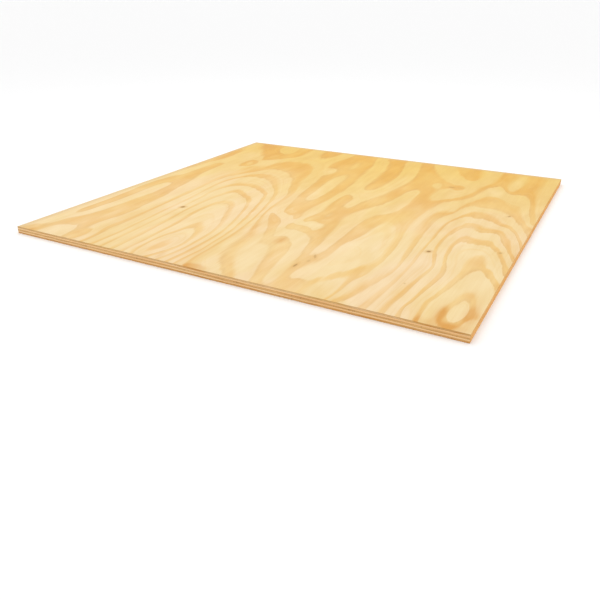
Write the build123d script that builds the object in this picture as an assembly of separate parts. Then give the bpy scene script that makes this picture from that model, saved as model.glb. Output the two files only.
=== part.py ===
from build123d import *
import os

# A half sheet of softwood plywood, in millimetres. Five veneers peeled from pine logs are glued
# face to face in a hot press, each with its grain square to the grain of the next, then the sheet
# is sawn to size and sanded. The origin is at the middle of the underside, +Z goes up through the
# plies, +Y runs along the grain of the face and +X runs across it.

# Sawn size of the sheet, across the grain of the face and along it
sheet_width = 1220.0
sheet_length = 1220.0

# Thickness of a ply after pressing: the sanded outer pair, the two crossbands and the core
outer_ply_thickness = 3.8
crossband_thickness = 3.8
core_thickness = 3.8

# Bevel that sanding leaves along the corners of the sheet's two outer faces
arris = 0.4

# The plies from the underside up, with their thickness and the end that is sanded, if any
bottom_end, top_end = 0, -1
layup = [
    ("back_veneer", outer_ply_thickness, bottom_end),
    ("lower_crossband", crossband_thickness, None),
    ("core_veneer", core_thickness, None),
    ("upper_crossband", crossband_thickness, None),
    ("face_veneer", outer_ply_thickness, top_end),
]


def ply(underside, thickness):
    """One veneer of the sawn sheet's full width and length, with its underside at that height."""
    blank = Rectangle(sheet_width, sheet_length)
    return extrude(Pos(0, 0, underside) * blank, thickness)


def eased(veneer, end):
    """The veneer with the corners round its lower or upper face taken off by sanding."""
    sanded_face = veneer.faces().sort_by(Axis.Z)[end]
    return chamfer(sanded_face.edges(), arris)


def pressed_sheet():
    """Every ply by name, each lying on the one below it with nothing between them."""
    plies = {}
    underside = 0.0
    for name, thickness, sanded_end in layup:
        veneer = ply(underside, thickness)
        if sanded_end is not None:
            veneer = eased(veneer, sanded_end)
        plies[name] = veneer
        underside += thickness
    return plies


os.makedirs("parts", exist_ok=True)
for name, veneer in pressed_sheet().items():
    export_step(veneer, f"parts/{name}.step")
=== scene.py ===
import math

import bpy
import numpy as np
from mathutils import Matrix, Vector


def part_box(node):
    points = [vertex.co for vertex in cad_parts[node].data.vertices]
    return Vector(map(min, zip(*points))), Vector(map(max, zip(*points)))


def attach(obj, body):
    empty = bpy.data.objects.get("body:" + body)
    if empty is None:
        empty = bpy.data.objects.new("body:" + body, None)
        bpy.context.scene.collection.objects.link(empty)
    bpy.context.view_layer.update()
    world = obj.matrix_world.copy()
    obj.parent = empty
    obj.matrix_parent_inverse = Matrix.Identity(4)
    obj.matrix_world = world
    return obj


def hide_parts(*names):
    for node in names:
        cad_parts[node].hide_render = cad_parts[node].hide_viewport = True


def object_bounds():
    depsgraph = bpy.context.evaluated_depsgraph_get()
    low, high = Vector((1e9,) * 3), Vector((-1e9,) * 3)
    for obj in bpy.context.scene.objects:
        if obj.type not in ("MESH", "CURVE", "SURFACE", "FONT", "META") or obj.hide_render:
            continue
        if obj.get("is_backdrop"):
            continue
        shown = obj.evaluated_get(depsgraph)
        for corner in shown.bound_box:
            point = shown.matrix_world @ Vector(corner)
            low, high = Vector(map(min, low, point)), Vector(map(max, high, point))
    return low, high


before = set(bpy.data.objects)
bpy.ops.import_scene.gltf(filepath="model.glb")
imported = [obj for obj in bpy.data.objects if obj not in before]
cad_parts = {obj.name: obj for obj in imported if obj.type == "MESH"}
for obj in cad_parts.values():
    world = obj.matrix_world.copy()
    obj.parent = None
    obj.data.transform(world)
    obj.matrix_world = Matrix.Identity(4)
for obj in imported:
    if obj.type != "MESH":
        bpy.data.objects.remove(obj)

cad_low, cad_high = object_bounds()

# Back veneer
# The under face of the sheet is one pine veneer, peeled off a turning log and laid down first with
# its grain running front to back. It is the plainer of the two outer veneers, sanded like the face.

mm = 0.001
half_width = cad_high.x
half_length = cad_high.y

# Growth rings as the lathe knife meets them: one ring is this thick in the log
ring_thickness = 5.0 * mm

# The log's swellings under the back veneer: place, half width, half length in mm, and rings cut
back_swellings = [
    (-360, 180, 105, 430, 5.2),
    (-395, -420, 70, 260, 2.4),
    (40, 60, 75, 330, -2.1),
    (210, -430, 110, 400, 4.6),
    (520, 330, 120, 460, 6.0),
    (-110, 520, 90, 240, 2.2),
    (330, 260, 60, 200, -1.4),
    (-560, -160, 60, 420, -1.8),
]


def with_bells(amount, x, y, bells):
    """An amount and, on top of it, a bell round each place given, with a half width across the grain, a
    half length along it and a height at its middle."""
    for across, along, half_across, half_along, height in bells:
        off_across = (x - across * mm) / (half_across * mm)
        off_along = (y - along * mm) / (half_along * mm)
        amount = amount + height * np.exp(-(off_across**2 + off_along**2) / 2)
    return amount


def peeled_rings(x, y, swellings, taper):
    """How many rings the knife has passed at a place. The knife cuts level, so the count changes with the
    taper of the log, by so many rings a metre of the grain, and rises as a bell over each swelling."""
    return with_bells(taper * y, x, y, swellings)


def ripple(distance, wavelengths, seed):
    """A smooth unevenness between -1 and 1 along a line: the mean of one sine for each wavelength,
    each started at a place of its own."""
    starts = np.random.default_rng(seed).uniform(0, 2 * np.pi, len(wavelengths))
    waves = [np.sin(2 * np.pi * distance / length + start) for length, start in zip(wavelengths, starts)]
    return np.mean(waves, axis=0)


def sawn_outline(x_lines, y_lines):
    """The places round the sheet where its edge is worked out, anticlockwise from the front left
    corner: each x line along the front, each y line up the right side, and back the same way."""
    front = np.column_stack([x_lines[:-1], np.full(len(x_lines) - 1, y_lines[0])])
    right = np.column_stack([np.full(len(y_lines) - 1, x_lines[-1]), y_lines[:-1]])
    back = np.column_stack([x_lines[:0:-1], np.full(len(x_lines) - 1, y_lines[-1])])
    left = np.column_stack([np.full(len(y_lines) - 1, x_lines[0]), y_lines[:0:-1]])
    return np.concatenate([front, right, back, left])


def ply_edge(outline, heights, insets, seed):
    """The sawn edge of a ply, as one loop of places for each height. A loop is drawn in from the outline
    by 0.6 to 1 of its inset, as the saw tore the fibres, and by the saw's own shallow waves. The
    loop that is drawn in least keeps to the sheet's full size."""
    distance = np.cumsum(np.r_[0, np.abs(np.diff(outline, axis=0)).sum(1)])
    torn = 0.8 + 0.2 * ripple(distance, [0.0313, 0.0471, 0.0877, 0.139], seed)
    saw_wave = 0.02 * mm * (1 + ripple(distance, [0.043, 0.071, 0.117], 5))
    drawn_in = np.array(insets)[:, None] * torn + saw_wave
    x = np.clip(outline[:, 0], -half_width + drawn_in, half_width - drawn_in)
    y = np.clip(outline[:, 1], -half_length + drawn_in, half_length - drawn_in)
    z = np.broadcast_to(np.array(heights)[:, None], x.shape)
    on_side = np.abs(outline) >= np.array([half_width, half_length]) - 1e-9
    snug = np.max(drawn_in, axis=1).argmin()
    x[snug] = np.where(on_side[:, 0], np.sign(outline[:, 0]) * half_width, x[snug])
    y[snug] = np.where(on_side[:, 1], np.sign(outline[:, 1]) * half_length, y[snug])
    return np.stack([x, y, z], axis=-1)


def ply_piece(name, x_lines, y_lines, edge, shown_height, rings, faces_down=False):
    """One ply as a closed skin. Its edge is a strip of quads between the loops of places given, from
    the glued side to the shown side. A shown side is a grid of the x and y lines, whose height is
    given for each crossing, and a glued side is a fan of triangles round its middle."""
    loops, stations = edge.shape[:2]
    points = edge.reshape(-1, 3)
    lower = np.arange((loops - 1) * stations).reshape(loops - 1, stations)
    onward = np.roll(lower, -1, axis=1)
    quads = np.stack([lower, onward, onward + stations, lower + stations], -1).reshape(-1, 4)
    first_loop = np.arange(stations)
    last_loop = first_loop + (loops - 1) * stations
    middle = len(points)
    points = np.vstack([points, [0, 0, edge[0, 0, 2]]])
    around = np.full(stations, middle)
    fans = np.column_stack([around, np.roll(first_loop, -1), first_loop])
    wide, long = len(x_lines), len(y_lines)
    if shown_height is None:
        middle = len(points)
        points = np.vstack([points, [0, 0, edge[-1, 0, 2]]])
        around = np.full(stations, middle)
        fans = np.vstack([fans, np.column_stack([around, last_loop, np.roll(last_loop, -1)])])
        crossings = np.empty((0, 4), int)
    else:
        x, y = np.meshgrid(x_lines[1:-1], y_lines[1:-1])
        inner = np.stack([x, y, shown_height(x, y)], -1).reshape(-1, 3)
        crossing = np.empty((long, wide), int)
        crossing[1:-1, 1:-1] = len(points) + np.arange(len(inner)).reshape(x.shape)
        corners = np.cumsum([0, wide - 1, long - 1, wide - 1, long - 1])
        crossing[0, :-1] = last_loop[corners[0]:corners[1]]
        crossing[:-1, -1] = last_loop[corners[1]:corners[2]]
        crossing[-1, :0:-1] = last_loop[corners[2]:corners[3]]
        crossing[:0:-1, 0] = last_loop[corners[3]:corners[4]]
        rim = points[last_loop]
        points[last_loop, 2] = shown_height(rim[:, 0], rim[:, 1])
        points = np.vstack([points, inner])
        crossings = np.stack([
            crossing[:-1, :-1], crossing[:-1, 1:], crossing[1:, 1:], crossing[1:, :-1],
        ], -1).reshape(-1, 4)
    if faces_down:
        quads, fans, crossings = quads[:, ::-1], fans[:, ::-1], crossings[:, ::-1]
    mesh = bpy.data.meshes.new(name)
    mesh.from_pydata(points.tolist(), [], quads.tolist() + fans.tolist() + crossings.tolist())
    smooth = np.zeros(len(quads) + len(fans) + len(crossings), bool)
    smooth[len(quads) + len(fans):] = True
    mesh.polygons.foreach_set("use_smooth", smooth)
    ring = mesh.attributes.new("ring", "FLOAT", "POINT")
    ring.data.foreach_set("value", rings(points).astype(np.float32))
    piece = bpy.data.objects.new(name, mesh)
    bpy.context.scene.collection.objects.link(piece)
    return piece


class Grain:
    """One value in a wood finish. Sums, products and quotients of it add Math nodes to the finish."""

    def __init__(self, tree, socket=None):
        self.tree = tree
        self.socket = socket

    def node(self, kind, settings=None, inputs=None, output=0):
        """Adds a node of a kind, makes its settings, then gives its sockets their values or links."""
        made = self.tree.nodes.new(kind)
        for setting, value in (settings or {}).items():
            setattr(made, setting, value)
        for name, value in (inputs or {}).items():
            if isinstance(value, Grain):
                self.tree.links.new(value.socket, made.inputs[name])
            else:
                made.inputs[name].default_value = value
        return Grain(self.tree, made.outputs[output])

    def maths(self, operation, first, second=0.0):
        return self.node("ShaderNodeMath", {"operation": operation}, {0: first, 1: second})

    def __add__(self, other):
        return self.maths("ADD", self, other)

    def __radd__(self, other):
        return self.maths("ADD", other, self)

    def __sub__(self, other):
        return self.maths("SUBTRACT", self, other)

    def __rsub__(self, other):
        return self.maths("SUBTRACT", other, self)

    def __mul__(self, other):
        return self.maths("MULTIPLY", self, other)

    def __rmul__(self, other):
        return self.maths("MULTIPLY", other, self)

    def __truediv__(self, other):
        return self.maths("DIVIDE", self, other)

    def __abs__(self):
        return self.maths("ABSOLUTE", self)


def tone(red, green, blue):
    """A colour as a screen shows it, out of 255, turned into the light that a shader works with."""
    shown = np.array([red, green, blue]) / 255
    light = np.where(shown <= 0.04045, shown / 12.92, ((shown + 0.055) / 1.055) ** 2.4)
    return (*light.tolist(), 1.0)


def rise(value, start, end):
    """Goes smoothly from 0 where the value is at the start to 1 where it is at the end."""
    return value.node(
        "ShaderNodeMapRange", {"interpolation_type": "SMOOTHSTEP"},
        {"Value": value, "From Min": start, "From Max": end},
    )


def blend(share, first, second, how="MIX"):
    """A share of the second colour laid over the first."""
    return share.node(
        "ShaderNodeMix", {"data_type": "RGBA", "blend_type": how, "clamp_factor": True},
        {0: share, 6: first, 7: second}, 2,
    )


def stretched(place, scale, fineness, roughness=0.5, shift=(0, 0, 0)):
    """Noise between 0 and 1 whose grains repeat so many times a metre along x, y and z."""
    scaled = place.node(
        "ShaderNodeVectorMath", {"operation": "MULTIPLY_ADD"}, {0: place, 1: scale, 2: shift}, 0
    )
    return place.node(
        "ShaderNodeTexNoise", {"noise_dimensions": "3D"},
        {"Vector": scaled, "Scale": 1.0, "Detail": fineness, "Roughness": roughness}, 0,
    )


def veneer_start(name):
    """An empty wood finish, the place that its patterns read, and x, y and z of that place."""
    finish = bpy.data.materials.new(name)
    finish.use_nodes = True
    wood = Grain(finish.node_tree)
    place = wood.node("ShaderNodeTexCoord", {}, {}, "Object")
    axes = [wood.node("ShaderNodeSeparateXYZ", {}, {0: place}, axis) for axis in range(3)]
    return finish, place, axes


def along_grain(grain, across, along, through):
    """How often a pattern repeats on x, y and z, for a ply whose grain runs along that axis."""
    return (across, along, through) if grain == "y" else (along, across, through)


def past_line(place, grain, ragged, shift=(0, 0, 0), sharp=1):
    """How far past the middle of the nearest dark line a place is, in rings from -0.5 to 0.5. Noise of
    three sizes frays the count as fibres do, and its mean is taken off so that no line moves. A line
    leads a little to the side where it starts."""
    ring = place.node("ShaderNodeAttribute", {"attribute_name": "ring"}, {}, "Fac")
    fray = stretched(place, along_grain(grain, 210, 9, 260), 3.0, 0.6, shift)
    teeth = stretched(place, along_grain(grain, 62, 5.5, 90), 2.0, 0.5, shift)
    drift = stretched(place, along_grain(grain, 18, 3.2, 60), 2.0, 0.5, shift)
    noise_mean = 1.7
    line_lead = 0.03
    frayed = ring + (fray + teeth * 1.4 + drift - noise_mean) * ragged - sharp * line_lead
    return frayed - frayed.maths("ROUND", frayed)


def latewood(past, soft, width=0.225, sharp=1):
    """The dark of the latewood, from 0 to 1. Width is half a line's share of a ring. Where sharp is 1 a
    line starts softly below its middle and stops sharply above it, where the year's growth stopped,
    and where sharp is -1 the other way round."""
    below = soft * (1.2 + sharp * 0.5)
    above = soft * (1.2 - sharp * 0.5)
    return rise(past, 0 - width - below, below - width) * (1 - rise(past, width - above, width + above))


def sawn_edges(axes, grain, colour, place, end_grain_tint_and_painted_light, long_grain_tint_and_painted_bounce):
    """Lays the looks of the four sawn edges over a ply's colour: darker end grain with pores and lathe
    checks where the saw crossed the fibres, and streaked long grain where it ran along them. At some
    plies the two tints also hold painted light: a warm painted reflection on the left and right sides and
    painted contact shade at the foot, as each ply's call says. Gives the colour, 1 where the wood was
    sawn, and the checks."""
    sawn_skin = 0.3 * mm
    skin_fade = 0.12 * mm
    across, along = (axes[0], axes[1]) if grain == "y" else (axes[1], axes[0])
    across_limit, along_limit = (half_width, half_length) if grain == "y" else (half_length, half_width)
    end = rise(abs(along), along_limit - sawn_skin - skin_fade, along_limit - sawn_skin)
    side = rise(abs(across), across_limit - sawn_skin - skin_fade, across_limit - sawn_skin)
    pores = stretched(place, along_grain(grain, 900, 30, 2600), 2.0, 0.6)
    streaks = stretched(place, along_grain(grain, 900, 14, 1500), 3.0, 0.6)
    blotches = stretched(place, along_grain(grain, 22, 22, 90), 2.0, 0.5)
    end_shade = rise(pores, 0.2, 0.8) * 0.2 + rise(blotches, 0.25, 0.75) * 0.12
    side_shade = rise(streaks, 0.25, 0.75) * 0.14 + rise(blotches, 0.25, 0.75) * 0.07
    checks = stretched(place, along_grain(grain, 420, 420, 60), 1.0, 0.4)
    check_line = rise(checks, 0.69, 0.73) * end
    # The tints given here are partly painted light at some plies: painted warm reflection on the sides,
    # painted contact shade at the foot
    colour = blend(end, colour, end_grain_tint_and_painted_light, "MULTIPLY")
    colour = blend(side, colour, long_grain_tint_and_painted_bounce, "MULTIPLY")
    colour = blend(end * end_shade + side * side_shade, colour, tone(120, 78, 40))
    colour = blend(check_line * 0.5, colour, tone(96, 60, 32))
    return colour, end + side, check_line


# A height well clear of the sheet, given for the side of an outer ply that has no glue
unglued = 1


def glue_lines(axes, low, high, colour):
    """A hair of dark brown glue along the ply's glued sides, at the two heights given. Gives the colour
    and where the glue is."""
    above_low = axes[2] - low
    nearest = above_low.maths("MINIMUM", above_low, high - axes[2])
    film = 1 - rise(nearest, 0.06 * mm, 0.2 * mm)
    return blend(film * 0.75, colour, tone(92, 52, 26)), film


def veneer_close(finish, wood, colour, roughness, height, depth, piece, node):
    """Feeds the finish's shader, gives the piece its finish and its body, and hides the CAD part it
    stands for.
    """
    shader = finish.node_tree.nodes["Principled BSDF"]
    shader.inputs["Specular IOR Level"].default_value = 0.2
    normal = wood.node("ShaderNodeBump", {}, {"Strength": 0.6, "Distance": depth, "Height": height})
    for socket, value in (("Base Color", colour), ("Roughness", roughness), ("Normal", normal)):
        finish.node_tree.links.new(value.socket, shader.inputs[socket])
    piece.data.materials.append(finish)
    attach(piece, "root")
    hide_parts(node)


# Sanding rounds the corner between a face and the edges, and the plies part a hair at the glue
arris = 0.4 * mm
glue_groove = 0.12 * mm
groove_height = 0.15 * mm
latewood_stands = 0.05 * mm
rounding = np.radians([0, 30, 60, 90])
back_taper = 1.3

# The skin's lines are 6 mm apart across the grain, where the rings crowd, and 12 mm along it
back_low, back_high = (corner.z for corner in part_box("back_veneer"))
back_x = np.linspace(-half_width, half_width, 205)
back_y = np.linspace(-half_length, half_length, 103)
back_outline = sawn_outline(back_x, back_y)
back_heights = [back_high, back_high - groove_height, (back_low + back_high) / 2]
back_heights += list(back_low + arris * (1 - np.sin(rounding)))
back_insets = [glue_groove, 0, 0] + list(arris * (1 - np.cos(rounding)))


def back_rings(points):
    """The ring count on the shown face, and more with each ring's thickness above it."""
    level = peeled_rings(points[:, 0], points[:, 1], back_swellings, back_taper)
    return level + (points[:, 2] - back_low) / ring_thickness


def back_height(x, y):
    """The shown face: latewood lines stand a hair proud of the softer wood between them."""
    off_line = np.abs((peeled_rings(x, y, back_swellings, back_taper) + 0.5) % 1 - 0.5)
    return back_low + latewood_stands * np.clip(off_line / 0.4, 0, 1)


back_ply = ply_piece(
    "back_ply", back_x, back_y, ply_edge(back_outline, back_heights, back_insets, 11),
    back_height, back_rings, faces_down=True,
)

finish, place, axes = veneer_start("back pine")
late = latewood(past_line(place, "y", 0.14, (7, 3, 0)), 0.06)
hue = stretched(place, (3.1, 1.2, 3), 2.0)
fibre = stretched(place, (620, 9, 900), 3.0, 0.65)
early_wood = blend(rise(hue, 0.3, 0.7), tone(232, 204, 152), tone(229, 197, 132))
late_wood = blend(rise(hue, 0.35, 0.65), tone(225, 184, 112), tone(220, 174, 92))
colour = blend(late, early_wood, late_wood)
colour = blend(rise(fibre, 0.3, 0.8) * 0.16, colour, tone(196, 142, 78))
# End grain at the front and back, darkened further as painted contact shade at the foot of the sheet;
# long grain at the left and right, tinted orange as a painted warm reflection
colour, sawn, checks = sawn_edges(axes, "y", colour, place, (0.88, 0.68, 0.52, 1), (1.15, 0.86, 0.5, 1))
colour, film = glue_lines(axes, -unglued, back_high, colour)
roughness = 0.56 + fibre * 0.12 - late * 0.06 + sawn * 0.12
height = fibre * 0.5 + late * 0.4 - checks * 0.8 - film * 0.5
veneer_close(finish, place, colour, roughness, height, 0.12 * mm, back_ply, "back_veneer")


# Crossbands
# Two veneers of lower grade, laid with their grain square to the faces', one under and one over the
# core. Only their sawn edges show: long grain at the front and back, end grain at the sides.

crossband_x = np.linspace(-half_width, half_width, 205)
crossband_y = np.linspace(-half_length, half_length, 205)
crossband_outline = sawn_outline(crossband_x, crossband_y)
crossband_taper = 0.8


def strewn_swellings(seed):
    """Swellings strewn under a ply whose grain runs along x: long on x, narrow on y, a few rings each."""
    dice = np.random.default_rng(seed)
    places = dice.uniform(-650, 650, (26, 2))
    lengths = dice.uniform(120, 380, 26)
    widths = dice.uniform(35, 110, 26)
    rings = dice.uniform(-2.2, 2.2, 26)
    return np.column_stack([places, lengths, widths, rings])


for crossband, node, seed in (
    ("lower_crossband_ply", "lower_crossband", 21),
    ("upper_crossband_ply", "upper_crossband", 34),
):
    low, high = (corner.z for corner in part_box(node))
    heights = [low, low + groove_height, (low + high) / 2, high - groove_height, high]
    insets = [glue_groove, 0, 0, 0, glue_groove]
    swellings = strewn_swellings(seed)

    def crossband_rings(points):
        """The ring count at a place on the edge: the log's, and more with each ring's thickness up."""
        level = with_bells(0, points[:, 0], points[:, 1], swellings)
        return level + crossband_taper * points[:, 0] + (points[:, 2] - low) / ring_thickness

    crossband_piece = ply_piece(
        crossband, crossband_x, crossband_y,
        ply_edge(crossband_outline, heights, insets, seed), None, crossband_rings,
    )
    finish, place, axes = veneer_start(crossband.replace("_", " "))
    late = latewood(past_line(place, "x", 0.2, (seed, 0, seed)), 0.09)
    hue = stretched(place, (1.6, 5, 40), 2.0, 0.5, (seed, seed, 0))
    fibre = stretched(place, (10, 700, 1200), 3.0, 0.65)
    early_wood = blend(rise(hue, 0.3, 0.7), tone(248, 212, 160), tone(246, 207, 152))
    late_wood = blend(rise(hue, 0.35, 0.65), tone(241, 194, 134), tone(236, 184, 122))
    colour = blend(late, early_wood, late_wood)
    colour = blend(rise(fibre, 0.3, 0.8) * 0.18, colour, tone(196, 142, 84))
    # End grain at the left and right, tinted orange partly as a painted warm reflection; the long grain
    # at the front and back keeps its own colour
    colour, sawn, checks = sawn_edges(axes, "x", colour, place, (1.03, 0.84, 0.54, 1), (1, 1, 1, 1))
    colour, film = glue_lines(axes, low, high, colour)
    roughness = 0.66 + fibre * 0.14 - late * 0.05
    height = fibre * 0.6 + late * 0.3 - checks * 0.8 - film * 0.5
    veneer_close(
        finish, place, colour, roughness, height, 0.15 * mm, crossband_piece, node
    )


# Core
# The middle veneer, grain front to back like the faces. The saw leaves its end grain at the front
# and back of the sheet, where it drinks in dust and light and looks darker than its neighbours.

core_low, core_high = (corner.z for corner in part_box("core_veneer"))
core_x = np.linspace(-half_width, half_width, 205)
core_y = np.linspace(-half_length, half_length, 205)
core_heights = [
    core_low, core_low + groove_height, (core_low + core_high) / 2, core_high - groove_height, core_high,
]
core_insets = [glue_groove, 0, 0, 0, glue_groove]
core_seed = 55
# The strewn ones with x and y swapped, as the core's grain runs along y
core_swellings = strewn_swellings(core_seed)[:, [1, 0, 3, 2, 4]]
core_taper = 0.9


def core_rings(points):
    """The ring count at a place on the edge: the log's, and more with each ring's thickness up."""
    level = peeled_rings(points[:, 0], points[:, 1], core_swellings, core_taper)
    return level + (points[:, 2] - core_low) / ring_thickness


core_ply = ply_piece(
    "core_ply", core_x, core_y,
    ply_edge(sawn_outline(core_x, core_y), core_heights, core_insets, core_seed), None, core_rings,
)

finish, place, axes = veneer_start("core pine")
late = latewood(past_line(place, "y", 0.2, (3, 9, 4)), 0.09)
hue = stretched(place, (5, 1.6, 40), 2.0)
fibre = stretched(place, (700, 10, 1200), 3.0, 0.65)
early_wood = blend(rise(hue, 0.3, 0.7), tone(226, 190, 134), tone(222, 182, 124))
late_wood = blend(rise(hue, 0.35, 0.65), tone(210, 164, 106), tone(202, 152, 94))
colour = blend(late, early_wood, late_wood)
colour = blend(rise(fibre, 0.3, 0.8) * 0.18, colour, tone(184, 130, 74))
# Long grain at the left and right, tinted orange partly as a painted warm reflection
colour, sawn, checks = sawn_edges(axes, "y", colour, place, (1.06, 1, 0.88, 1), (1.27, 1.06, 0.62, 1))
colour, film = glue_lines(axes, core_low, core_high, colour)
roughness = 0.7 + fibre * 0.14 - late * 0.05
height = fibre * 0.6 + late * 0.3 - checks * 0.8 - film * 0.5
veneer_close(finish, place, colour, roughness, height, 0.15 * mm, core_ply, "core_veneer")


# Face veneer
# The good outer veneer, peeled from a pine log with a few pin knots and sanded after pressing. Its
# rings were cut at a low angle, so they show as tall arches, ovals and wide ragged patches.

face_low, face_high = (corner.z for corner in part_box("face_veneer"))

# The ring lines of the face, in mm from the middle of the sheet: whole numbers are the middles of
# dark latewood lines, halves the middles of the pale wood between two of them, and .78 and .22 the
# two borders of a dark line, just before and just after its whole number
left_arches = [
    (0, [(-185, -520), (-185, -565)]),
    (1, [(-222, -500), (-210, -415), (-190, -365), (-150, -430), (-137, -520), (-155, -585)]),
    (2, [(-243, -525), (-250, -400), (-268, -220), (-260, -175), (-230, -158), (-170, -255),
         (-122, -400), (-117, -520)]),
    (3, [(-278, -540), (-290, -366), (-305, -205), (-300, -85), (-285, -40), (-240, -62),
         (-190, -110), (-140, -230), (-98, -410), (-95, -510)]),
    (4, [(-312, -550), (-335, -185), (-345, -60), (-330, 12), (-285, 37), (-230, 17),
         (-185, -20), (-128, -180), (-85, -365), (-72, -510)]),
    (5, [(-340, -510), (-365, -150), (-378, 50), (-335, 145), (-290, 158), (-240, 130),
         (-200, 73), (-152, -12), (-110, -146), (-71, -329), (-55, -560)]),
    (6, [(-390, -510), (-388, -400), (-396, -270), (-408, -80), (-416, 20), (-408, 110), (-368, 185),
         (-345, 255), (-325, 325), (-292, 352), (-225, 322), (-171, 171), (-104, -24), (-89, -165),
         (-71, -235), (-42, -315), (-24, -351), (-8, -435), (25, -530), (78, -605)]),
    (6, [(-318, 300), (-285, 300), (-235, 272), (-205, 230)]),
    (6.5, [(-424, -490), (-416, -400), (-417, -320), (-430, -200), (-446, -100), (-462, 10),
           (-450, 150), (-385, 320), (-335, 410), (-250, 430), (-185, 380), (-146, 256), (-117, 152),
           (-90, 0), (-73, -100), (-64, -158), (-13, -191), (18, -213), (53, -208), (84, -209),
           (100, -238)]),
]
left_side = [
    (7, [(-535, 215), (-535, 140), (-530, 50), (-528, 0), (-530, -45), (-560, -80), (-566, -150),
         (-560, -230), (-559, -330), (-558, -415)]),
    (7, [(-522, -40), (-505, -65), (-492, -100), (-480, -150), (-470, -190), (-457, -220)]),
    (7, [(-493, -255), (-492, -350), (-500, -430), (-520, -490)]),
    (7, [(-474, -300), (-442, -350), (-447, -440), (-465, -495)]),
    (6.5, [(-571, 200), (-575, 60)]),
    (6.5, [(-605, -60), (-604, -120), (-588, -220), (-583, -320), (-582, -440), (-572, -510)]),
    (6.5, [(-531, -85), (-526, -200), (-527, -350), (-537, -440)]),
    (6.5, [(-500, 235), (-490, 100)]),
    (7, [(-586, 405), (-580, 350), (-578, 300), (-592, 240), (-602, 150)]),
    (6.5, [(-545, 400), (-540, 300), (-552, 245)]),
    (6.5, [(-520, 455), (-495, 400), (-480, 330), (-478, 220)]),
    (7, [(-535, 605), (-515, 560), (-490, 510), (-450, 460), (-432, 405), (-422, 368)]),
    (7, [(-485, 605), (-478, 550), (-455, 505), (-420, 472), (-378, 450), (-376, 418)]),
    (6.6, [(-585, 560), (-560, 500), (-535, 450)]),
    (6.5, [(-438, 600), (-440, 550), (-415, 512), (-395, 497)]),
    (6.5, [(-403, 595), (-400, 540)]),
    (7, [(-366, 605), (-360, 560), (-355, 515), (-348, 470)]),
    (6.55, [(-308, 580), (-290, 480)]),
    (7, [(-234, 600), (-221, 557)]),
    (6.5, [(-170, 600), (-183, 510)]),
    (7, [(-443, 324), (-430, 295), (-419, 266)]),
    (6.5, [(-440, 349), (-412, 335)]),
    (6.5, [(-475, -562), (-512, -585)]),
    (7, [(-437, -578), (-411, -556)]),
    (7, [(-563, -604)]),
]
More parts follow.
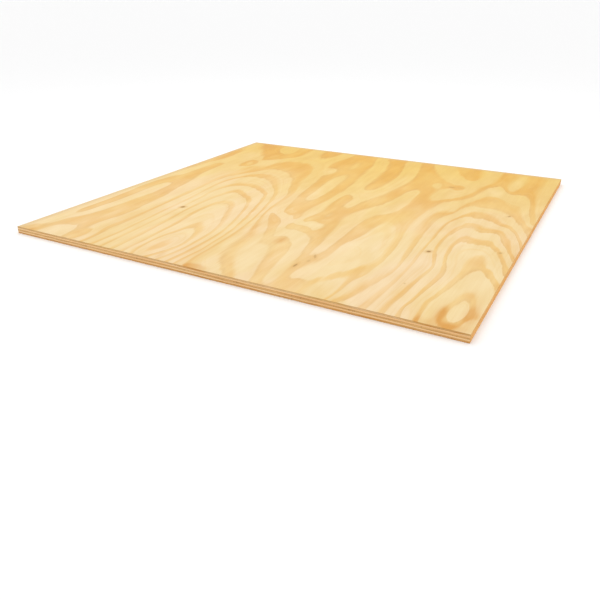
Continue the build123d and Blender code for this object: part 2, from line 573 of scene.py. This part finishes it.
middle_patches = [
    (7, [(-110, 605), (-130, 520), (-140, 450), (-137, 400), (-108, 385)]),
    (7, [(-62, 600), (-50, 540), (-43, 470), (-38, 400), (-30, 330), (-17, 220), (0, 120), (12, 50),
         (12, 0), (2, -60), (-6, -120), (-18, -158)]),
    (7, [(-85, 335), (-84, 290), (-88, 240), (-85, 150), (-70, 60), (-58, 0), (-48, -80), (-38, -148)]),
    (7, [(-28, -60), (-25, -120)]),
    (6.75, [(-78, 470), (-72, 400)]),
    (6.5, [(-128, 342), (-115, 312)]),
    (6.72, [(-140, 294)]),
    (6.5, [(-54, 262), (-50, 200), (-38, 100), (-34, 40), (-38, 8)]),
    (6.5, [(31, 66), (31, 0), (34, -60), (36, -110), (31, -160), (33, -176)]),
    (6.95, [(14, -188), (30, -192), (46, -193)]),
    (7, [(48, 60), (50, 0), (62, -60), (72, -110), (62, -170), (88, -178)]),
    (6.65, [(98, 30), (98, -15)]),
    (6.8, [(82, -127)]),
    (7, [(92, -60), (108, -80), (110, -140), (128, -195), (140, -240), (145, -290), (158, -340),
         (163, -400), (166, -450), (176, -500), (182, -560), (192, -605)]),
    (7, [(28, -240), (45, -245), (70, -251), (90, -257), (112, -260)]),
    (7, [(-60, -186), (-42, -200), (-22, -222), (-15, -250), (-2, -273), (8, -300), (20, -335),
         (30, -365)]),
    (6.5, [(-78, -165), (-62, -220), (-46, -256), (-26, -293), (-8, -335), (6, -370), (20, -430),
           (42, -485), (73, -550), (100, -600)]),
    (6.5, [(44, -425), (62, -480), (90, -545), (113, -600)]),
    (6.5, [(5, -213), (12, -262), (25, -297), (34, -322)]),
    (6.5, [(55, -292), (90, -297), (112, -330), (122, -380), (136, -430), (148, -500), (158, -575)]),
    (7, [(54, -342), (66, -375), (84, -415), (100, -455), (115, -500), (131, -550), (145, -600)]),
    (7, [(72, -355), (92, -385), (108, -425)]),
    (6.5, [(-38, 600), (-28, 560), (0, 500), (15, 440), (23, 350), (29, 250), (42, 180), (75, 130),
           (104, 85)]),
    (6.8, [(3, 588)]),
    (7, [(42, 600), (55, 540), (66, 490), (75, 450), (85, 400), (90, 350), (86, 290), (84, 230),
         (80, 192)]),
    (6.5, [(95, 600), (110, 545), (128, 450), (143, 370), (142, 290), (134, 220), (118, 150)]),
    (7, [(155, 605), (165, 560), (178, 500), (185, 430), (188, 340), (188, 280), (178, 190), (168, 100),
         (150, 50), (140, 5), (125, -42)]),
    (7, [(225, 440), (236, 380), (240, 300), (250, 240), (262, 170), (272, 90), (285, 10), (292, -60)]),
    (6.5, [(228, 212), (222, 160), (215, 90), (218, 20), (203, -20), (178, -32), (160, -52),
           (147, -88), (147, -115), (160, -168), (175, -215), (177, -260), (172, -300), (180, -345),
           (183, -378)]),
    (7, [(222, -62), (208, -100), (205, -160), (199, -210), (203, -270), (203, -330), (197, -385),
         (190, -435)]),
    (6.75, [(250, -105), (238, -165)]),
    (6.6, [(258, -212)]),
    (6.6, [(290, -250)]),
    (6.5, [(187, 600), (213, 560), (235, 500), (262, 450), (290, 405), (335, 392), (372, 350),
           (368, 290), (345, 240), (318, 200), (300, 192), (298, 250), (305, 290)]),
    (6.5, [(236, 600), (262, 520), (298, 445), (345, 415), (385, 400), (400, 470), (392, 540),
           (385, 600)]),
    (7, [(275, 605), (290, 555), (305, 515), (325, 470), (345, 452)]),
    (7, [(335, 605), (345, 550), (352, 500), (355, 465)]),
    (7, [(244, 402), (265, 370), (290, 343), (315, 332), (343, 333)]),
    (6.5, [(262, 342), (268, 318)]),
    (7, [(290, 320), (275, 299), (258, 288)]),
    (6.5, [(224, -320), (226, -400), (218, -480), (203, -528)]),
    (6.5, [(285, -305), (298, -350), (292, -400), (262, -450), (235, -500)]),
    (7, [(213, -560), (224, -600)]),
    (6.8, [(258, -530), (250, -565)]),
    (6.85, [(284, -492), (308, -480), (325, -452)]),
    (6.5, [(298, -530), (312, -568), (304, -590)]),
]
right_arches = [
    (7, [(322, -450), (335, -400), (335, -330), (322, -200), (300, -80), (296, 0), (305, 134),
         (330, 178), (366, 225), (390, 290), (402, 375), (430, 440), (435, 540), (440, 605)]),
    (7, [(460, 440), (462, 520), (466, 590)]),
    (6.5, [(493, 560), (490, 490), (490, 400)]),
    (7, [(494, 355), (520, 430), (526, 520), (520, 605)]),
    (7, [(494, 355), (545, 400), (570, 300), (588, 170), (604, 85)]),
    (7, [(548, 560), (550, 470)]),
    (6.5, [(588, 560), (588, 450), (590, 340), (600, 220)]),
    (7.5, [(330, -512), (353, -400), (350, -300), (323, -20), (348, 135), (403, 220), (425, 300),
           (454, 375), (485, 325), (519, 310), (553, 280), (565, 200), (594, 73)]),
    (7.5, [(439, 317), (525, 262)]),
    (8, [(330, -605), (347, -560), (358, -504), (383, -400), (373, -275), (358, -120), (347, 0),
         (354, 46), (382, 54), (390, 100), (400, 160)]),
    (8, [(408, 185), (430, 240), (457, 278), (490, 245), (513, 207), (549, 150), (570, 95), (600, 40)]),
    (8, [(451, 201), (488, 201)]),
    (8.22, [(412, 160), (430, 164), (460, 166), (490, 163), (512, 156), (530, 140)]),
    (8.5, [(413, 118), (428, 136), (455, 143), (490, 134), (518, 110), (545, 68), (575, 20), (600, -40)]),
    (8.78, [(421, 85), (428, 108), (440, 118), (455, 122), (472, 118), (490, 106), (507, 88),
            (520, 68), (530, 50)]),
    (9, [(394, -598), (405, -400), (401, -244), (396, -100), (397, -30), (404, 15), (415, 52)]),
    (9, [(540, 32), (560, 16), (578, -15), (592, -55), (606, -100)]),
    (9.22, [(428, 62), (440, 56), (460, 60), (480, 62), (495, 54), (507, 42), (520, 33)]),
    (9.5, [(411, -150), (409, -60), (413, -10), (425, 20), (450, 32), (494, 26), (530, 9), (560, -15),
           (580, -50), (598, -105)]),
    (9.78, [(430, -30), (435, -8), (446, 8), (462, 11), (480, 4), (500, -4), (522, -8), (540, -13),
            (553, -26), (561, -48)]),
    (10, [(433, -561), (443, -440), (449, -317), (438, -280), (428, -235), (423, -180), (424, -120),
          (430, -68)]),
    (10, [(560, -72), (569, -97), (581, -132), (594, -168), (606, -202)]),
    (10.22, [(440, -56), (448, -38), (457, -28), (466, -38), (478, -45), (490, -43), (502, -47),
             (514, -38), (528, -36), (540, -43), (549, -60)]),
    (10.5, [(455, -290), (443, -220), (441, -160), (446, -100), (468, -72), (500, -78), (522, -68),
            (545, -92), (565, -135), (585, -178), (604, -232)]),
    (10.78, [(454, -135), (457, -108), (468, -101), (482, -98), (500, -105), (516, -102), (528, -96),
             (540, -110), (551, -132)]),
    (11, [(464, -585), (474, -460), (480, -354), (469, -295), (460, -250), (457, -200), (458, -165)]),
    (11, [(555, -148), (568, -172), (583, -207), (597, -250), (608, -285)]),
    (11.22, [(464, -172), (469, -150), (480, -146), (492, -150), (506, -143), (520, -138), (533, -141),
             (546, -153)]),
    (11.5, [(474, -560), (490, -460), (502, -370), (494, -300), (482, -220), (500, -185), (520, -178),
            (545, -195), (563, -225), (585, -280), (603, -330)]),
    (11.78, [(496, -608), (494, -560), (491, -530), (495, -500), (500, -480), (504, -450), (508, -410),
             (511, -380), (514, -320), (511, -285), (513, -250), (519, -228), (530, -214),
             (541, -217), (549, -238), (557, -262), (567, -285)]),
    (12, [(520, -375), (525, -335)]),
    (12, [(532, -258), (540, -262), (549, -290)]),
    (12, [(575, -307), (596, -350), (610, -380)]),
    (12.22, [(508, -608), (505, -585), (504, -555), (504, -520), (508, -490), (515, -460),
             (521, -430), (526, -395)]),
    (12.22, [(537, -335), (545, -313), (556, -308), (565, -318), (575, -336)]),
    (12.5, [(519, -560), (523, -480), (538, -400), (561, -345), (590, -400), (603, -470)]),
    (12.5, [(597, -580), (592, -605)]),
    (12.78, [(545, -608), (538, -595), (532, -572), (531, -545), (535, -522), (541, -500), (545, -480),
             (549, -460), (553, -440), (562, -424), (576, -434), (583, -455), (587, -478),
             (593, -500), (601, -520), (607, -536), (603, -550), (594, -564), (586, -578),
             (579, -594), (577, -608)]),
    (13.22, [(563, -472), (557, -495), (551, -515), (547, -535), (548, -555), (553, -574), (563, -582),
             (572, -576), (579, -562), (584, -545), (585, -528), (582, -508), (576, -488), (569, -474)]),
    (13.5, [(564, -515), (566, -560)]),
]
face_lines = left_arches + left_side + middle_patches + right_arches

# Pin knots, in mm: place, half width, half length, turn in degrees and how dark
pin_knots = [
    (-325, -258, 6.5, 9.0, -30, 1.0),
    (417, -250, 6.0, 8.0, -30, 0.92),
    (535, 116, 4.5, 7.0, -30, 0.62),
    (572, -177, 5.0, 6.5, -30, 0.4),
    (311, 330, 13.0, 8.5, 0, 0.35),
    (341, 333, 13.0, 9.0, 0, 0.1),
    (174, -482, 4.0, 13.0, 0, 0.6),
    (190, -412, 4.0, 15.0, 25, 0.36),
    (189, -444, 4.5, 9.0, 0, 0.2),
    (428, -455, 2.5, 3.5, 0, 0.3),
]

# The two worst have shrunk and fallen a little below the face
sunken_knots = pin_knots[:2]

# Resin under the face, in mm: place, half width, half length and strength
resin_stains = [
    (594, -535, 12, 34, 1.6),
    (537, -560, 9, 32, 1.4),
    (560, -602, 34, 12, 1.3),
    (568, -448, 18, 26, 0.55),
    (503, -600, 5, 22, 0.9),
    (608, -370, 8, 26, 0.5),
    (608, -180, 8, 24, 0.6),
    (606, 35, 9, 24, 0.6),
    (606, 172, 9, 30, 0.6),
    (14, -515, 11, 18, 0.35),
    (38, -546, 16, 20, 0.5),
    (72, -590, 14, 22, 0.5),
    (-26, -604, 20, 12, 2.2),
    (-140, -585, 8, 22, 0.8),
    (-190, -378, 16, 18, 0.25),
    (-427, -565, 18, 16, 0.5),
    (-563, -604, 13, 10, 0.8),
    (388, -590, 9, 26, 0.5),
    (328, -600, 8, 18, 0.4),
    (224, -585, 12, 26, 0.35),
    (190, -430, 9, 60, 0.3),
    (176, -500, 8, 40, 0.3),
    (137, -238, 22, 34, 0.3),
    (75, -250, 14, 12, 0.4),
    (538, -262, 20, 40, 0.5),
    (452, 96, 30, 16, 0.3),
    (-427, 296, 14, 32, 0.55),
    (-515, 565, 40, 40, 0.6),
    (-570, 500, 46, 90, 0.3),
    (-435, 420, 60, 60, 0.45),
    (-363, 560, 10, 34, 0.4),
    (-222, 578, 20, 26, 0.5),
    (-46, -300, 13, 46, 0.5),
    (64, -356, 14, 24, 0.9),
    (-585, 340, 16, 50, 0.35),
    (-532, 80, 18, 140, 0.4),
    (-485, -170, 20, 60, 0.5),
    (-475, -380, 40, 90, 0.3),
    (-566, -140, 16, 60, 0.3),
    (-66, 555, 24, 40, 0.4),
    (-135, 400, 34, 40, 0.25),
    (153, 575, 18, 34, 0.6),
    (318, 575, 30, 30, 0.3),
    (440, 575, 30, 34, 0.35),
    (88, 366, 26, 100, 0.25),
]

# Sapwood that is paler than the rest, in mm: place, half width, half length and strength
pale_places = [
    (250, -330, 50, 110, 0.9),
    (215, -490, 22, 50, 0.6),
    (-215, -330, 45, 120, 0.6),
    (565, -540, 16, 34, 0.9),
    (560, -350, 34, 50, 0.5),
    (495, -300, 20, 140, 0.4),
    (500, -165, 40, 24, 0.4),
    (495, -55, 40, 20, 0.4),
    (460, 45, 40, 16, 0.4),
    (60, -500, 40, 70, 0.4),
    (148, -500, 12, 70, 0.5),
    (-22, -548, 16, 26, 0.6),
    (-485, -572, 34, 22, 0.7),
    (-560, -430, 50, 110, 0.4),
    (-300, -40, 60, 90, 0.3),
    (35, -130, 18, 40, 0.5),
    (80, -208, 26, 12, 0.5),
    (145, -100, 20, 30, 0.4),
    (-48, 120, 14, 110, 0.35),
    (-120, 325, 14, 26, 0.5),
    (143, 310, 16, 80, 0.4),
    (445, 340, 26, 34, 0.5),
    (345, 85, 22, 34, 0.4),
    (490, 480, 12, 50, 0.35),
    (-490, 400, 34, 50, 0.35),
    (-385, 330, 26, 50, 0.35),
]

# Amber heartwood, yellower than the rest, and painted shade that darkens and yellows the left side, in
# mm: place, half width, half length and strength
amber_and_painted_shade_places = [
    (60, 60, 160, 200, 1.0),
    (60, 430, 200, 160, 0.7),
    (420, 540, 120, 60, 0.5),
    (-450, 520, 120, 70, 0.5),
    (-20, -120, 60, 60, 0.3),
    (260, -110, 70, 90, 0.5),
    (-530, 60, 30, 140, 0.5),
    (200, -470, 60, 110, 0.3),
    # The next two are painted shade: they darken and yellow the left side, where the lamp falls brighter
    (-570, -260, 110, 300, 0.75),
    (-260, -400, 130, 200, 0.3),
    (520, -480, 120, 130, 0.3),
]

# Where the ring lines are thinner, fainter, or hazier at their borders: place, half width, half length
# and by how much
thin_lines = [
    (-220, -250, 110, 220, -0.09),
    (-370, -150, 40, 260, -0.06),
    (-330, -420, 90, 160, -0.03),
    (395, -400, 55, 180, -0.07),
    (462, -330, 30, 120, -0.06),
    (585, -200, 18, 110, -0.05),
    (398, -60, 14, 130, -0.1),
    (389, 105, 12, 45, -0.12),
    (172, -470, 20, 100, -0.11),
]
faint_lines = [
    (-230, -170, 130, 330, 0.12),
    (-330, -470, 90, 110, 0.25),
    (184, -450, 28, 90, 0.38),
    (60, -400, 80, 130, 0.12),
    (15, -470, 40, 100, 0.22),
    (20, -345, 18, 50, 0.35),
    (250, -560, 60, 50, 0.15),
    (160, -380, 28, 130, 0.2),
    (30, -60, 200, 200, 0.08),
]
hazy_lines = [
    (-240, -120, 120, 260, -0.055),
    (470, -60, 110, 220, -0.055),
    (440, -450, 90, 120, -0.04),
    (570, -520, 30, 70, -0.03),
    (-530, -250, 60, 260, -0.03),
    (-40, 100, 60, 160, -0.02),
    (70, -400, 90, 130, 0.05),
    (15, -480, 45, 110, 0.07),
    (250, -540, 60, 60, 0.03),
]


def run_through(points, step):
    """Places every so often on a smooth line through the points given: between two points it is a
    cubic, whose slope at each is that of its neighbours on both sides, by their distances."""
    if len(points) == 1:
        return points
    reach = np.r_[0, np.linalg.norm(np.diff(points, axis=0), axis=1).cumsum()]
    if len(points) == 2:
        slope = np.repeat((points[1:] - points[:1]) / reach[-1], 2, axis=0)
    else:
        slope = np.gradient(points, reach, axis=0)
    at = np.linspace(0, reach[-1], max(2, int(reach[-1] / step) + 1))
    span = np.clip(np.searchsorted(reach, at, side="right") - 1, 0, len(reach) - 2)
    length = (reach[span + 1] - reach[span])[:, None]
    share = (at - reach[span])[:, None] / length
    start, end = points[span], points[span + 1]
    return (
        (1 + 2 * share) * (1 - share) ** 2 * start
        + share * (1 - share) ** 2 * length * slope[span]
        + share**2 * (3 - 2 * share) * end
        + share**2 * (share - 1) * length * slope[span + 1]
    )


# Rings change slowly along the grain, so there a mm counts for less than one across it. In these
# shrunk mm: how far apart the places on a line are, and how far out the surface rounds each of them
# off. The slack lets the surface pass a little beside a place where lines nearly meet.
shrunk = np.array([1, 0.45])
line_step = 20
core_radius = 10
slack = 0.1


def nearness(these, those):
    """Distance between shrunk places, rounded at 0."""
    apart = these[:, None, :] - those[None, :, :]
    return np.sqrt((apart**2).sum(-1) + core_radius**2)


line_places = [run_through(np.array(points) * shrunk, line_step) for _, points in face_lines]
line_counts = [np.full(len(places), count) for places, (count, _) in zip(line_places, face_lines)]
line_places = np.concatenate(line_places)
line_counts = np.concatenate(line_counts)
known = len(line_places)
system = np.ones((known + 1, known + 1))
system[:known, :known] = nearness(line_places, line_places) - slack * np.eye(known)
system[known, known] = 0
pulls = np.linalg.solve(system, np.r_[line_counts, 0])


def face_count(x, y):
    """The ring count on the face: the smooth surface through the ring lines, as a sum over their
    places of a pull times the distance to it, and a constant."""
    places = np.column_stack([np.ravel(x), np.ravel(y)]) / mm * shrunk
    parts = np.array_split(places, max(1, len(places) // 4000))
    count = np.concatenate([nearness(part, line_places) @ pulls[:-1] + pulls[-1] for part in parts])
    return count.reshape(np.shape(x))


def face_rings(points):
    """The ring count on the shown face, and less with each ring's thickness below it."""
    return face_count(points[:, 0], points[:, 1]) - (face_high - points[:, 2]) / ring_thickness


def face_height(x, y):
    """The shown face: latewood lines stand a hair proud of the softer wood, and the sunken knots are
    dips in it."""
    off_line = np.abs((face_count(x, y) + 0.5) % 1 - 0.5)
    height = face_high - latewood_stands * np.clip((off_line - 0.1) / 0.3, 0, 1)
    knot_depth = 0.15 * mm
    for across, along, half_across, half_along, turn, dark in sunken_knots:
        off = ((x - across * mm) / (half_across * mm)) ** 2 + ((y - along * mm) / (half_along * mm)) ** 2
        height = height - knot_depth * np.exp(-off)
    return height


def crowded(limit, count, places):
    """Evenly spaced lines from one side to the other, and five more round each place, 3.5 mm apart."""
    lines = np.linspace(-limit, limit, count)
    extra = np.add.outer(np.array(places) * mm, np.array([-7, -3.5, 0, 3.5, 7]) * mm).ravel()
    far_enough = np.abs(lines[:, None] - extra).min(1) > 2 * mm
    far_enough[[0, -1]] = True
    return np.sort(np.r_[lines[far_enough], extra])


# The skin's lines are 4.7 mm apart across the grain and 7.9 mm along it, and closer at the sunken
# knots, which lie at nearly the same y
face_x = crowded(half_width, 261, [knot[0] for knot in sunken_knots])
face_y = crowded(half_length, 155, [sunken_knots[0][1]])
face_heights = [face_low, face_low + groove_height, (face_low + face_high) / 2]
face_heights += list(face_high - arris * (1 - np.sin(rounding)))
face_insets = [glue_groove, 0, 0] + list(arris * (1 - np.cos(rounding)))
face_ply = ply_piece(
    "face_ply", face_x, face_y,
    ply_edge(sawn_outline(face_x, face_y), face_heights, face_insets, 3), face_height, face_rings,
)

at = np.zeros(len(face_ply.data.vertices) * 3)
face_ply.data.vertices.foreach_get("co", at)
at = at.reshape(-1, 3)
for name, everywhere, bells in (
    ("resin", 0, resin_stains), ("sapwood", 0, pale_places), ("amber_and_painted_shade", 0, amber_and_painted_shade_places),
    ("line_width", 0.22, thin_lines), ("haze", 0.11, hazy_lines), ("faint", 0, faint_lines),
):
    amount = with_bells(everywhere, at[:, 0], at[:, 1], bells)
    kept = face_ply.data.attributes.new(name, "FLOAT", "POINT")
    kept.data.foreach_set("value", amount.astype(np.float32))


def knot_spot(place, across, along, half_across, half_along, turn):
    """How far a place is from a knot's middle: 0 there and 1 on its oval rim, turned as it grew."""
    centred = place.node(
        "ShaderNodeMapping", {"vector_type": "TEXTURE"},
        {
            "Vector": place, "Location": (across * mm, along * mm, face_high),
            "Rotation": (0, 0, math.radians(turn)), "Scale": (half_across * mm, half_along * mm, 1),
        },
    )
    return place.node("ShaderNodeVectorMath", {"operation": "LENGTH"}, {0: centred}, "Value")


finish, place, axes = veneer_start("face pine")
line_width, haze, faint, resin, sapwood, amber_and_painted_shade = [
    place.node("ShaderNodeAttribute", {"attribute_name": name}, {}, "Fac")
    for name in ("line_width", "haze", "faint", "resin", "sapwood", "amber_and_painted_shade")
]

# Noises that the finish reads: large soft ones first, then clouds, ring layers and fibres
hue = stretched(place, (2.6, 1.1, 3), 2.0)
blush = stretched(place, (8, 3.2, 3), 2.0, 0.5, (4, 8, 0))
softening = stretched(place, (11, 5, 3), 1.0, 0.5, (9, 2, 0))
cloud = stretched(place, (9, 3.6, 3), 3.0, 0.55, (2, 5, 0))
mottle = stretched(place, (27, 10, 60), 1.5, 0.5, (6, 1, 0))
ring = place.node("ShaderNodeAttribute", {"attribute_name": "ring"}, {}, "Fac")
along_rings = place.node("ShaderNodeCombineXYZ", {}, {0: ring * 11, 1: axes[1] * 1.6, 2: axes[0] * 1.6})
layers = stretched(along_rings, (1, 1, 1), 2.0, 0.55)
coarse = stretched(place, (70, 4, 90), 3.0, 0.6)
fibre = stretched(place, (560, 8, 900), 3.0, 0.65)

# The dark lines: from 0.2 to 0.36 m right of the middle, their sharp borders change sides
sharp = rise(axes[0], 0.2, 0.36) * 2 - 1
haze = haze * (0.4 + rise(softening, 0.35, 0.7) * 1.1)
past = past_line(place, "y", 0.15, sharp=sharp)
late = latewood(past, haze, line_width, sharp)
rim = rise(past * sharp, 0.02, line_width) * late
core = 1 - rise(abs(past), 0.03, 0.2)
faded = 1 - rise(cloud, 0.36, 0.56)
late = late + (0.35 - late) * faint
late = late * (1 - faded * 0.35)

# Early wood, pink and cream near the front edge and amber towards the far one
depth_in = rise(axes[1] + (hue - 0.5) * 0.3, -0.25, 0.62)
early_near = blend(rise(blush, 0.42, 0.6), tone(230, 205, 155), tone(232, 206, 165))
early_wood = blend(depth_in, early_near, tone(226, 191, 106))
early_wood = blend(rise(cloud, 0.48, 0.68) * 0.45, early_wood, tone(223, 188, 116))
early_wood = blend(sapwood * 0.6, early_wood, tone(235, 214, 170))

# Latewood, orange in the middle of its widest patches and brown at the rim where a year stopped
late_near = blend(rise(blush, 0.4, 0.65), tone(227, 189, 118), tone(227, 187, 126))
late_wood = blend(depth_in, late_near, tone(222, 170, 66))
orange = core * rise(cloud, 0.42, 0.66)
late_wood = blend(orange * 0.6, late_wood, blend(depth_in, tone(219, 170, 92), tone(215, 158, 52)))
heart = rim * (0.35 + rise(coarse, 0.35, 0.65) * 0.65) * rise(abs(sharp), 0.3, 0.9)
late_wood = blend(heart * 0.7, late_wood, blend(depth_in, tone(209, 168, 108), tone(208, 156, 74)))

# The two together, with the thin layers within a ring, fibres, mottling, and amber heartwood that on the
# left side is also painted shade
colour = blend(late * (0.8 + coarse * 0.3), early_wood, late_wood)
colour = blend(rise(layers, 0.5, 0.78) * 0.3, colour, late_wood)
colour = blend((1 - rise(layers, 0.25, 0.45)) * 0.25, colour, early_wood)
colour = blend(rise(coarse, 0.35, 0.75) * 0.13, colour, tone(212, 166, 88))
colour = blend(rise(fibre, 0.35, 0.8) * 0.09, colour, tone(194, 146, 74))
tint = blend(rise(mottle, 0.3, 0.7), (1.015, 1.03, 1.06, 1), (0.985, 0.97, 0.93, 1))
colour = place.node("ShaderNodeVectorMath", {"operation": "MULTIPLY"}, {0: colour, 1: tint})
# Amber heartwood, which on the left side is painted shade
colour = blend(amber_and_painted_shade, colour, (1, 0.985, 0.84, 1), "MULTIPLY")

# Resin that has bled up, and handling dirt along the left and far rims
stain = rise(resin * (0.6 + coarse * 0.8), 0.1, 1.2) * (0.35 + late * 0.5)
colour = blend(stain, colour, tone(208, 146, 62))
left_rim = axes[0] + half_width
far_rim = half_length - axes[1]
rim_distance = left_rim.maths("MINIMUM", left_rim, far_rim) + (coarse - 0.5) * 6 * mm
soiled = 1 - rise(rim_distance, 7 * mm, 26 * mm)
colour = blend(soiled * 0.5, colour, tone(208, 178, 132))

# Pin knots: a brown middle in a wider tan halo
sunk = 0
for across, along, half_across, half_along, turn, dark in pin_knots:
    off = knot_spot(place, across, along, half_across, half_along, turn) + (coarse - 0.5) * 0.5
    colour = blend((1 - rise(off, 0.7, 2.4)) * 0.45 * dark, colour, tone(204, 152, 76))
    knot = (1 - rise(off, 0.35, 1.05)) * dark
    colour = blend(knot * 0.9, colour, tone(146, 102, 32))
    sunk = knot + sunk

# The sawn edges, their left and right sides tinted orange partly as a painted warm reflection, and the
# arris round the face, worn brown
colour, sawn, checks = sawn_edges(axes, "y", colour, place, (0.9, 0.79, 0.68, 1), (1.12, 0.87, 0.52, 1))
worn = rise(axes[2], face_high - 0.7 * mm, face_high - 0.3 * mm) * sawn
colour = blend(worn * 0.6, colour, tone(154, 108, 56))
colour, film = glue_lines(axes, face_low, unglued, colour)
roughness = 0.52 + fibre * 0.12 - late * 0.06 + sawn * 0.12
height = fibre * 0.5 + late * 0.4 - checks * 0.8 - film * 0.5 - sunk * 0.6
veneer_close(finish, place, colour, roughness, height, 0.12 * mm, face_ply, "face_veneer")


# Floor, light and camera
# A pale studio floor that runs out of sight, a bright even room, and one large soft light above and
# behind the sheet's left side. The camera stands at the right of the front edge, as in the photo.

floor_reach = 400
floor_drop = 0.1 * mm
floor_mesh = bpy.data.meshes.new("floor")
floor_signs = np.array([(-1, -1, 0), (1, -1, 0), (1, 1, 0), (-1, 1, 0)])
floor_corners = floor_signs * floor_reach - [0, 0, floor_drop]
floor_mesh.from_pydata(floor_corners.tolist(), [], [(0, 1, 2, 3)])
floor = bpy.data.objects.new("floor", floor_mesh)
bpy.context.scene.collection.objects.link(floor)
paint = bpy.data.materials.new("floor paint")
paint.use_nodes = True
floor_shader = paint.node_tree.nodes["Principled BSDF"]
floor_shader.inputs["Base Color"].default_value = tone(247, 247, 247)
floor_shader.inputs["Roughness"].default_value = 0.9
floor_shader.inputs["Specular IOR Level"].default_value = 0.1
floor_mesh.materials.append(paint)
floor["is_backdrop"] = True

room = bpy.data.worlds.new("room")
room.use_nodes = True
room.node_tree.nodes["Background"].inputs["Color"].default_value = (1, 1, 1, 1)
room.node_tree.nodes["Background"].inputs["Strength"].default_value = 1.04
bpy.context.scene.world = room

lamp = bpy.data.lights.new("key", "AREA")
lamp.shape = "DISK"
lamp.size = 2.2
lamp.energy = 12.5
key = bpy.data.objects.new("key", lamp)
key.location = (-0.35, 0.3, 2.4)
aim = -key.location.copy()
key.rotation_euler = aim.to_track_quat("-Z", "Y").to_euler()
bpy.context.scene.collection.objects.link(key)

# Solved from the sheet's corners in the photo, in degrees: how far down it looks, and how far left
camera_tilt = 26.3866
camera_turn = 28.9529
eye = bpy.data.cameras.new("camera")
eye.lens = 36.52
eye.sensor_width = 36
eye.shift_x = 0.0153
eye.clip_end = 2000
camera = bpy.data.objects.new("camera", eye)
camera.location = (0.7906, -1.6174, 0.5706)
camera.rotation_euler = (math.radians(90 - camera_tilt), 0, math.radians(camera_turn))
bpy.context.scene.collection.objects.link(camera)
bpy.context.scene.camera = camera
bpy.context.scene.view_settings.view_transform = "Standard"

low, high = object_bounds()
